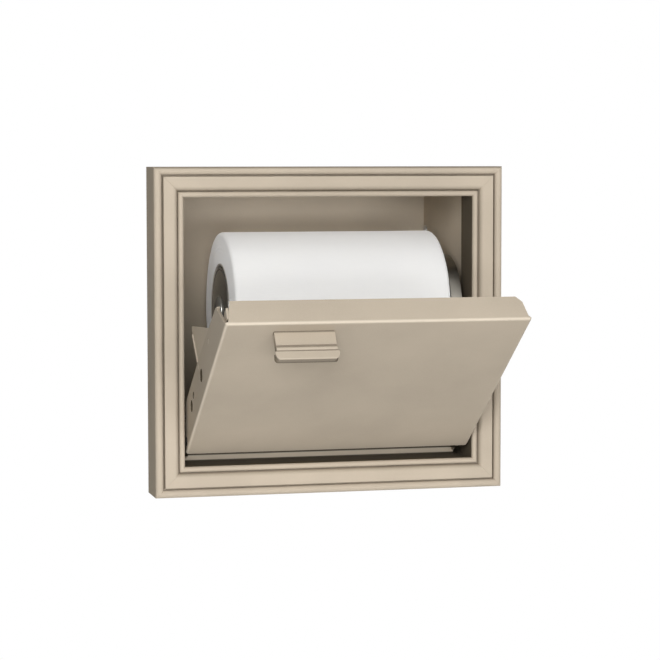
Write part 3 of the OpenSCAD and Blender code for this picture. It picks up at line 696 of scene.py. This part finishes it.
# the closed door in mm, with points as [behind the face, below the top] and a hole's radius after them
door = {
    "face": -23.0, "top": 66.65, "height": 127.0, "halfWide": 74.4,
    "sheet": 1.2, "bend": 1.5, "bendSteps": 6, "openAngle": 55.0, "hingeBack": 4.5, "hingeUp": 5.0,
    "topFlange": 12.8, "topInset": 1.8, "topClip": 3.0,
    "flange": [(16.5, 10.3), (19.3, 17), (20.3, 36), (21.5, 61), (21.5, 115), (19, 123), (14.5, 127)],
    "flangeRound": 2.2, "flangeTurn": 12,
    "holes": [(11.6, 67.2, 3.25), (14.1, 91.2, 1.8), (12.2, 98.9, 3.0)], "holeSteps": 40, "drillPast": 5,
    "bushHole": 2.42, "stopHole": 1.42, "stopArm": 12.5, "stopAngle": 15.0,
    "bladeRivets": [(16, 42), (18.8, 71.5)], "rivetHole": 1.32,
    "tab": [(3.5, 0.6), (9.4, 0.6), (9.4, 4.5), (7.5, 7.5), (5.0, 8.5)], "tabGap": 0.05,
    # wear and painted highlight along the bends, painted shade on the side flanges and in the holes
    "edge": 0.14, "edgeTurn": 60, "rubbedAndHighlight": 0.6, "sideShade": 0.12, "holeShade": 1.0, "holeReach": 0.02,
    "flatSide": 0.99, "holeWall": 0.5,    # how far a face looks sideways
}
hingeY = door["face"] + door["hingeBack"]
hingeZ = door["top"] - door["height"] + door["hingeUp"]
openTurn = (Matrix.Translation(Vector((0, hingeY, hingeZ)) * mm)
            @ Matrix.Rotation(math.radians(door["openAngle"]), 4, "X")
            @ Matrix.Translation(Vector((0, -hingeY, -hingeZ)) * mm))


def onDoor(behind, below):
    return door["face"] + behind, door["top"] - below


def applied(piece):
    # the mesh as it is with its modifiers
    graph = bpy.context.evaluated_depsgraph_get()
    graph.update()
    bm = bmesh.new()
    bm.from_mesh(piece.evaluated_get(graph).data)
    return bm


def foldedSheet():
    # the door without thickness: its face, the bends round it and three flanges
    d = door
    bend, face, top = d["bend"], d["face"], d["top"]
    wide, high, bottom = d["halfWide"] - bend, top - bend, top - d["height"]
    bm = bmesh.new()
    known = {}

    def addFace(corners):
        # corners that fall together are one, and a face needs three
        unique = []
        for corner in corners:
            key = tuple(round(c, 4) for c in corner)
            if key not in known:
                known[key] = bm.verts.new(Vector(key) * mm)
            if known[key] not in unique:
                unique.append(known[key])
        if len(unique) > 2:
            bm.faces.new(unique)

    def rim(angle):
        return bend * math.sin(angle), face + bend * (1 - math.cos(angle))

    addFace([(-wide, face, bottom), (wide, face, bottom), (wide, face, high), (-wide, face, high)])
    angles = [math.pi / 2 * k / d["bendSteps"] for k in range(d["bendSteps"] + 1)]
    for a0, a1 in zip(angles, angles[1:]):
        (s0, y0), (s1, y1) = rim(a0), rim(a1)
        addFace([(-wide, y0, high + s0), (wide, y0, high + s0),
                 (wide, y1, high + s1), (-wide, y1, high + s1)])
        for side in (-1, 1):
            addFace([(side * (wide + s0), y0, bottom), (side * (wide + s1), y1, bottom),
                     (side * (wide + s1), y1, high), (side * (wide + s0), y0, high)])
            # round corner between the two bends
            for b0, b1 in zip(angles, angles[1:]):
                corner = []
                for a, b in ((a0, b0), (a1, b0), (a1, b1), (a0, b1)):
                    s, y = rim(a)
                    corner.append((side * (wide + s * math.cos(b)), y, high + s * math.sin(b)))
                addFace(corner)
    # the right end of the top flange has a clipped corner
    flat, back, inset, clip = face + bend, face + d["topFlange"], wide - d["topInset"], d["topClip"]
    addFace([(-wide, flat, top), (wide, flat, top), (inset, back - clip, top),
             (inset - clip, back, top), (-inset, back, top)])
    for side in (-1, 1):
        shape = rounded(d["flange"], d["flangeRound"], steps=4, turn=d["flangeTurn"])
        outline = [(bend, bend), *shape, (bend, d["height"])]
        addFace([(side * d["halfWide"], *onDoor(a, b)) for a, b in outline])
    bmesh.ops.recalc_face_normals(bm, faces=bm.faces)
    middle = max(bm.faces, key=lambda f: f.calc_area())
    if middle.normal.y > 0:
        bmesh.ops.reverse_faces(bm, faces=bm.faces)
    return bm


def doorHoles():
    # place, radius, and -1 for those in the left flange only
    d = door
    arm = math.radians(d["stopAngle"])
    hinge = (d["hingeBack"], d["height"] - d["hingeUp"])
    stop = (hinge[0] + d["stopArm"] * math.cos(arm), hinge[1] - d["stopArm"] * math.sin(arm))
    holes = [(a, b, radius, 0) for a, b, radius in d["holes"]]
    holes += [(*hinge, d["bushHole"], 0), (*stop, d["stopHole"], 0)]
    return holes + [(a, b, d["rivetHole"], -1) for a, b in d["bladeRivets"]]


def drillFor(holes):
    reach = (door["halfWide"] + door["drillPast"]) * mm
    bm = bmesh.new()
    for a, b, radius, side in holes:
        y, z = onDoor(a, b)
        shift = Matrix.Translation(Vector((side * reach / 2, y * mm, z * mm)))
        bmesh.ops.create_cone(
            bm, cap_ends=True, segments=door["holeSteps"], radius1=radius * mm, radius2=radius * mm,
            depth=reach if side else 2 * reach, matrix=shift @ Matrix.Rotation(math.pi / 2, 4, "Y"))
    return objectOf(bm, "drill")


def drilledSheet(holes):
    sheet = objectOf(foldedSheet(), "doorSheet")
    thick = sheet.modifiers.new("thick", "SOLIDIFY")
    thick.thickness = door["sheet"] * mm
    thick.offset = -1
    thick.use_even_offset = True
    drill = drillFor(holes)
    cut = sheet.modifiers.new("drilled", "BOOLEAN")
    cut.operation = "DIFFERENCE"
    cut.solver = "EXACT"
    cut.object = drill
    bm = applied(sheet)
    for spent in (sheet, drill):
        bpy.data.objects.remove(spent)
    bmesh.ops.remove_doubles(bm, verts=bm.verts, dist=merge["folded"])
    return bm


def addTab(bm):
    # a tab at the left end of the top flange, bent down inside the side flange
    tabX = [-door["halfWide"] + n * door["sheet"] + door["tabGap"] for n in (1, 2)]
    shape = [onDoor(a, b) for a, b in door["tab"]]
    corners = [bm.verts.new(Vector((x, y, z)) * mm) for x in tabX for y, z in shape]
    for face in prismFaces(len(shape)):
        bm.faces.new([corners[i] for i in face])
    bmesh.ops.recalc_face_normals(bm, faces=bm.faces)


def rubAndHighlightBends(bm):
    # the paint is rubbed along the bends, and painted lighter there as a painted highlight
    bend = door["bend"]
    wide, high = door["halfWide"] - bend, door["top"] - bend
    wearAndHighlightMark = wearAndHighlightLayer(bm)
    for v in bm.verts:
        across = min(1, max(0, (abs(v.co.x) / mm - wide) / bend))
        over = min(1, max(0, (v.co.z / mm - high) / bend))
        turn = max(across, over)
        if v.co.y / mm - door["face"] < bend and turn > 0:
            v[wearAndHighlightMark] = max(v[wearAndHighlightMark], door["rubbedAndHighlight"] * math.sin(math.pi * turn ** 2))


def shadeDoor(bm, holes):
    # a little painted shade on the side flanges, and dark painted shade in their holes
    wide = door["halfWide"] - door["bend"]
    bores = [(*onDoor(a, b), radius + door["holeReach"]) for a, b, radius, side in holes]
    shadeMark = bm.faces.layers.float.new("paintedShade")
    for f in bm.faces:
        spot, sideways = f.calc_center_median() / mm, abs(f.normal.x)
        if sideways > door["flatSide"]:
            f[shadeMark] = door["sideShade"]
        elif sideways < door["holeWall"] and abs(spot.x) > wide:
            if any(math.hypot(spot.y - y, spot.z - z) < reach for y, z, reach in bores):
                f[shadeMark] = door["holeShade"]


def makeDoor():
    holes = doorHoles()
    bm = drilledSheet(holes)
    addTab(bm)
    softenEdges(bm, door["edge"] * mm, 2, door["edgeTurn"], clamp=False)
    rubAndHighlightBends(bm)
    shadeDoor(bm, holes)
    bm.transform(openTurn)
    finishPiece(bm, "doorSheetPiece", "door_panel", ["door_panel"], sharpAngle=35)


# the pull in mm: out from the door's face, and down from its own top
pull = {
    "middle": -35.8, "width": 30.7, "below": 7.0,
    "out": 15.0, "lip": 4.2, "thick": 4.4, "belly": 3.2, "step": 0.8, "corner": 2.5, "seam": 1.1,
    "bead": 0.9, "beadBack": 1.5, "beadSteps": 10, "groove": 0.7, "grooveFrom": 2.1, "grooveFull": 1.9,
    "grooveTo": 1.2, "edge": 0.8, "edgeSteps": 6, "lipFront": 0.6, "lipFoot": 3.5,
    # corners under the lip, back from its front and up from its underside
    "lipUnder": [(0.3, 0.3), (0.8, 0), (2, 0)],
    "soft": 0.22, "softTurn": 40,
    # how much painted shade, and how far each shaded place reaches
    "deepShade": 0.9, "lightShade": 0.5, "atDoor": 0.6, "fromTop": 0.3, "aroundBead": 2.3,
    "near": 0.1, "beforeLip": 0.5, "atFront": 0.4, "frontFrom": 0.5,
}


def pullOutline(bead, lipStart):
    # [out, down, half the width]: the plate's upper side, the wider lip, the plate's underside
    p = pull
    full, slim = p["width"] / 2, p["width"] / 2 - p["step"]
    beadArc = arcPoints(bead, -p["groove"] / 2, p["bead"], 180, 0, p["beadSteps"])
    above = [(0, 0), (p["seam"], 0), (bead - p["grooveFrom"], 0), (bead - p["grooveFull"], p["groove"]),
             (bead - p["bead"], p["groove"]), *((u, -v) for u, v in beadArc),
             (bead + p["grooveTo"], p["groove"]), (lipStart, 0)]
    edgeArc = arcPoints(p["out"] - p["edge"], -p["edge"], p["edge"], 90, 0, p["edgeSteps"])
    lip = [(lipStart + 1, 0), *((u, -v) for u, v in edgeArc), (p["out"], p["thick"] * p["lipFront"])]
    lip += [(p["out"] - back, p["thick"] - up) for back, up in p["lipUnder"]]
    lip += [(p["out"] - p["lipFoot"], p["belly"]), (lipStart, p["belly"])]
    outline = [(u, v, slim) for u, v in above] + [(lipStart, 0, full)]
    inner = p["out"] - p["corner"]
    for u, v in lip:
        # the lip's front corners are round
        half = full
        if u > inner:
            half = full - p["corner"] + math.sqrt(max(0, p["corner"] ** 2 - (u - inner) ** 2))
        outline.append((u, v, half))
    return outline + [(u, p["belly"], slim) for u in (lipStart, p["seam"], 0)]


def makePull():
    p = pull
    lipStart = p["out"] - p["lip"]
    bead = lipStart - p["beadBack"]
    outline = pullOutline(bead, lipStart)
    points = [(p["middle"] + end * half, door["face"] - u, door["top"] - p["below"] - v)
              for end in (-1, 1) for u, v, half in outline]
    bm = meshFrom(points, prismFaces(len(outline)))
    bmesh.ops.remove_doubles(bm, verts=bm.verts, dist=merge["folded"])
    bmesh.ops.triangulate(bm, faces=[f for f in bm.faces if len(f.verts) > 4])
    bmesh.ops.join_triangles(bm, faces=bm.faces, angle_face_threshold=0.02, angle_shape_threshold=3.1)
    softenEdges(bm, p["soft"] * mm, 2, p["softTurn"])
    shadeMark = bm.verts.layers.float.new("paintedShade")
    for v in bm.verts:
        out, down = door["face"] - v.co.y / mm, door["top"] - p["below"] - v.co.z / mm
        atDoor = out < p["atDoor"]
        inGroove = (p["fromTop"] < down < p["groove"] + p["near"]
                    and abs(out - bead) < p["aroundBead"])
        underLip = down > p["belly"] - p["near"] and out > lipStart - p["beforeLip"]
        onFront = out > p["out"] - p["atFront"] and down > p["frontFrom"]
        # painted shade where the pull meets the door and under its lip, lighter painted shade in its
        # groove and on its front
        v[shadeMark] = p["deepShade"] if atDoor or underLip else p["lightShade"] if inGroove or onFront else 0.0
    bm.transform(openTurn)
    finishPiece(bm, "pullPiece", "door_pull", ["door_pull"], sharpAngle=45)


print("door")
makeDoor()
makePull()

# the roll in mm
roll = {
    "axis": (22.0, 8.0),              # y and z
    "rings": 26, "ringDepth": 0.10,   # windings shown on each end
    "soft": 2.0, "roundSteps": 5, "steps": 180,
    "bodyFrom": 3, "bodySteps": 24, "boreFrom": 20, "coreGap": 0.08,
    # the last sheet, and how far the winding sags
    "sheetFrom": 1.5, "sheetStep": 0.35, "seam": 250.0, "sag": 0.12, "sagAlong": 0.03, "sagRound": 1.3,
    "endWave": 0.06, "endAlong": 0.9, "endRound": 2, "endFrom": 1,
}


def makeRoll():
    low, high = nodeBox("paper_roll")
    r = roll
    left, right = low.x, high.x
    outer = (high.z - low.z) / 2
    inner = nodeBox("roll_core")[1].z - r["axis"][1] + r["coreGap"]

    def ringAt(k):
        return inner + (outer - r["soft"] - inner) * k / r["rings"]

    def ringSink():
        # each winding lies a little deeper or higher than the next
        return r["ringDepth"] * (1 + random.uniform(-1, 1))

    def roundOver(k):
        a = math.pi / 2 * k / r["roundSteps"]
        return r["soft"] * (1 - math.cos(a)), outer - r["soft"] * (1 - math.sin(a))

    profile = [(left + ringSink(), ringAt(k)) for k in range(r["rings"] + 1)]
    for k in range(1, r["roundSteps"] + 1):
        inward, radius = roundOver(k)
        profile.append((left + inward, radius))
    body, steps = right - left - 2 * r["bodyFrom"], r["bodySteps"]
    profile += [(left + r["bodyFrom"] + body * k / steps, outer) for k in range(steps + 1)]
    for k in range(r["roundSteps"], -1, -1):
        inward, radius = roundOver(k)
        profile.append((right - inward, radius))
    profile += [(right - ringSink(), ringAt(k)) for k in range(r["rings"], -1, -1)]
    profile += [(right - r["boreFrom"], inner), (left + r["boreFrom"], inner)]

    def wobble(x, radius, a):
        if radius > outer - r["sheetFrom"]:
            # the last sheet ends in a step, and the winding is not quite round
            turn = ((math.degrees(a) - r["seam"]) % 360) / 360
            radius -= r["sheetStep"] * (1 - turn)
            reach = r["sagRound"]
            spot = Vector((x * r["sagAlong"], math.cos(a) * reach, math.sin(a) * reach))
            radius -= r["sag"] * (0.5 + 0.5 * noise.noise(spot))
        elif radius > inner + r["endFrom"] and not left + r["endFrom"] < x < right - r["endFrom"]:
            reach = r["endRound"]
            spot = Vector((radius * r["endAlong"], math.cos(a) * reach, math.sin(a) * reach))
            x += r["endWave"] * noise.noise(spot)
        return min(max(x, left), right), radius

    bm = turned(profile, r["axis"], r["steps"], wobble)
    finishPiece(bm, "tissueRoll", "paper_roll", ["paper_roll"], sharpAngle=60, weighted=False)


# the roller's end cap in mm
capShape = {
    "rim": 22.8, "skirt": 22.35, "wall": 1.2, "skirtWall": 1.2, "skirtEdge": 0.2, "atRim": 3.4,
    "plateRise": 0.7, "plateFrom": 0.5, "plateTo": 1.6, "plateFront": 0.05, "plateBack": 0.3,
    "plateSteps": 12,
    "hub": 8.0, "hubRise": 2.6, "hubPower": 0.8, "hubSteps": 14,
    "hubHollow": 0.8, "hubWall": 0.9, "hubSlope": 1.6, "hubCorner": 0.5, "hubStep": 0.6,
    # a shallow groove and the rolled rim, [along from the rim's face, in from its radius]
    "rimOutline": [(0.15, 1.4), (0.2, 1.15), (-0.25, 0.9), (-0.3, 0.45), (-0.1, 0.1), (0.2, 0)],
    "rimBack": 0.2, "rimEdge": 0.05, "rimCorner": 0.15, "steps": 128,
}


def makeCap():
    low, high = nodeBox("roller_end_cap")
    c = capShape
    rimX = low.x + c["atRim"]
    plateX = rimX - c["plateRise"]
    sleeveX = nodeBox("roller_sleeve")[0].x - c["rimBack"]
    outer = []
    # the hub is a rounded knob on a slightly domed plate
    for k in range(c["hubSteps"] + 1):
        a = math.pi / 2 * k / c["hubSteps"]
        outer.append((low.x + c["hubRise"] * (1 - math.cos(a)), c["hub"] * math.sin(a) ** c["hubPower"]))
    start, end = c["hub"] + c["plateFrom"], c["rim"] - c["plateTo"]
    for k in range(c["plateSteps"] + 1):
        t = k / c["plateSteps"]
        dome = (c["plateRise"] - c["plateBack"]) * t * t
        outer.append((plateX + c["plateFront"] + dome, start + (end - start) * t))
    outer += [(rimX + along, c["rim"] - inward) for along, inward in c["rimOutline"]]
    # the back of the rim, then the skirt inside the sleeve
    outer += [(sleeveX - c["rimEdge"], c["rim"]), (sleeveX, c["rim"] - c["rimCorner"]),
              (sleeveX, c["skirt"]), (high.x - c["skirtEdge"], c["skirt"]),
              (high.x, c["skirt"] - c["skirtEdge"]), (high.x, c["skirt"] - c["skirtWall"])]
    hollow = c["hub"] - c["hubWall"]
    inner = [(rimX + c["wall"], c["skirt"] - c["skirtWall"]),
             (plateX + c["wall"], hollow + c["hubCorner"]), (plateX + c["hubStep"], hollow),
             (low.x + c["hubHollow"], hollow - c["hubSlope"]), (low.x + c["hubHollow"], 0)]
    bm = turned(outer + inner, roll["axis"], c["steps"])
    finishPiece(bm, "endCapPiece", "roller_end_cap", ["roller_end_cap"], sharpAngle=40, weighted=False)


print("roll and end cap")
makeRoll()
makeCap()

# pieces that keep the construction's shape: how far their edges are rounded in mm, and in how many steps
softened = {
    "recess_wrap": (0.22, 2), "recess_back": (0.22, 2), "hinge_bracket": (0.18, 2),
    "roll_arm": (0.9, 4), "catch_blade": (0.16, 2), "catch_body": (0.3, 2),
    "seam_rivets": (0.55, 4), "pull_rivets": (0.45, 4), "blade_rivets": (0.4, 4), "clip_rivets": (0.4, 3),
    "spindle_rod": (0.4, 3), "roller_sleeve": (0.15, 2), "roll_core": (0.12, 2),
    "retaining_washer": (0.15, 2), "retaining_screw": (0.4, 3), "key_screws": (0.3, 3),
    "hinge_pin_left": (0.2, 2), "hinge_pin_right": (0.2, 2), "stop_pins": (0.2, 2),
    "corner_keys": (0.2, 2), "bracket_screws": (0.3, 3), "arm_screws": (0.4, 3), "catch_screws": (0.2, 2),
}
print("sheet metal and fittings")
for node, (width, segments) in softened.items():
    softenedNode(node, width, segments)
# the nodes that are left are shown as they were built
for node, shown in frame["nodes"].items():
    for place in range(len(shown.material_slots)):
        shown.material_slots[place].material = finish[slotOf[node]]

print("done")
